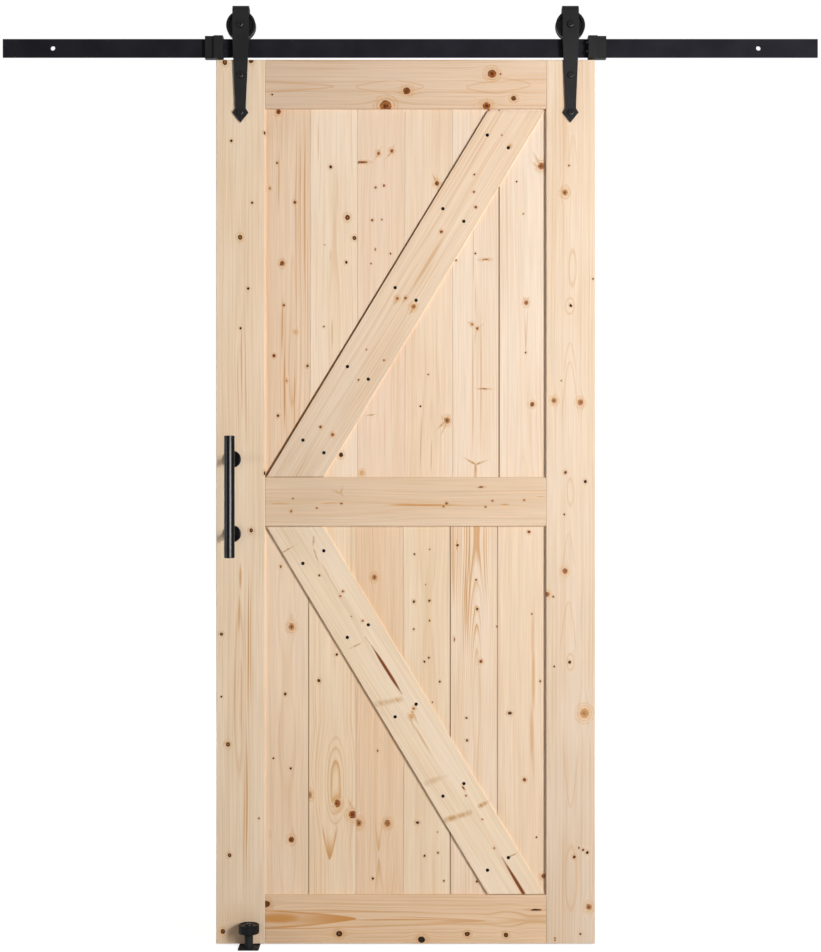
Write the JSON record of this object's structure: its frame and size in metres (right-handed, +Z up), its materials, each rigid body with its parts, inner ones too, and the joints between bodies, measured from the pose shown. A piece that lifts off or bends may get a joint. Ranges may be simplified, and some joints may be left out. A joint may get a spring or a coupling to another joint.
{
  "type": "sliding barn door",
  "caption": "Pine barn door with a K-braced frame, hung from a flat black track by arrow straps and grooved wheels, with rail stops, a round pull handle and a roller floor guide.",
  "frame": {"origin": "midway between the track's two wall holes, on the track's wall face", "axes": "+X along the track, to the right seen from the front; +Y to the wall; +Z up"},
  "size_m": [1.9725, 0.1701, 2.2703],
  "materials": {
    "pine": "planed, unfinished, knotty",
    "black_steel": "satin black powder coat",
    "black_fasteners": "black oxide",
    "black_nylon": "moulded, satin",
    "black_rubber": "matt",
    "bearing_steel": "ground",
    "dowel_wood": "ribbed dowel, plain"
  },
  "bodies": {
    "track": {"track_rail": "black_steel", "right_stop_clamp": "black_steel", "right_stop_back_plate": "black_steel", "right_stop_screws": "black_fasteners", "right_stop_bumpers": "black_rubber", "guide_base_plate": "black_steel", "front_guide_post": "black_steel", "rear_guide_post": "black_steel", "guide_caps": "black_fasteners"},
    "left_stop": {"left_stop_clamp": "black_steel", "left_stop_back_plate": "black_steel", "left_stop_screws": "black_fasteners", "left_stop_bumpers": "black_rubber"},
    "left_wheel": {"left_wheel": "black_nylon", "left_bearing_outer_ring": "bearing_steel", "left_bearing_balls": "bearing_steel"},
    "right_wheel": {"right_wheel": "black_nylon", "right_bearing_outer_ring": "bearing_steel", "right_bearing_balls": "bearing_steel"},
    "front_guide_roller": {"front_guide_roller": "black_nylon"},
    "rear_guide_roller": {"rear_guide_roller": "black_nylon"},
    "door": {"left_stile": "pine", "right_stile": "pine", "top_rail": "pine", "middle_rail": "pine", "bottom_rail": "pine", "upper_brace": "pine", "lower_brace": "pine", "upper_board_1": "pine", "upper_board_2": "pine", "upper_board_3": "pine", "upper_board_4": "pine", "upper_board_5": "pine", "upper_board_6": "pine", "lower_board_1": "pine", "lower_board_2": "pine", "lower_board_3": "pine", "lower_board_4": "pine", "lower_board_5": "pine", "lower_board_6": "pine", "left_hanger_strap": "black_steel", "right_hanger_strap": "black_steel", "handle_bar": "black_steel", "upper_handle_post": "black_steel", "lower_handle_post": "black_steel", "axle_bolts": "black_fasteners", "axle_nuts": "black_fasteners", "strap_bolts": "black_fasteners", "strap_washers": "black_fasteners", "strap_nuts": "black_fasteners", "handle_screws": "black_fasteners", "upper_brace_screws": "black_fasteners", "lower_brace_screws": "black_fasteners", "bearing_inner_rings": "bearing_steel", "axle_spacers": "bearing_steel", "frame_dowels": "dowel_wood"}
  },
  "joints": [
    {"name": "door_slide", "type": "slide", "parent": "track", "child": "door", "axis": [1, 0, 0], "range_m": [-0.485, 0.0155]},
    {"name": "left_stop_slide", "type": "slide", "parent": "track", "child": "left_stop", "axis": [1, 0, 0], "range_m": [-0.485, 0.0155]},
    {"name": "left_wheel_spin", "type": "hinge", "parent": "door", "child": "left_wheel", "pos_m": [-0.3982, -0.003, 0.05405], "axis": [0, 1, 0], "continuous": true},
    {"name": "right_wheel_spin", "type": "hinge", "parent": "door", "child": "right_wheel", "pos_m": [0.3982, -0.003, 0.05405], "axis": [0, 1, 0], "continuous": true},
    {"name": "front_guide_roller_spin", "type": "hinge", "parent": "track", "child": "front_guide_roller", "pos_m": [-0.376, -0.0421, -2.12095], "axis": [0, 0, 1], "continuous": true},
    {"name": "rear_guide_roller_spin", "type": "hinge", "parent": "track", "child": "rear_guide_roller", "pos_m": [-0.376, 0.0441, -2.12095], "axis": [0, 0, 1], "continuous": true}
  ],
  "couplings": [
    {"joint": "left_stop_slide", "follows": "door_slide", "ratio": 1},
    {"joint": "left_wheel_spin", "follows": "door_slide", "rad_per_m": 31.746},
    {"joint": "right_wheel_spin", "follows": "door_slide", "rad_per_m": 31.746}
  ]
}
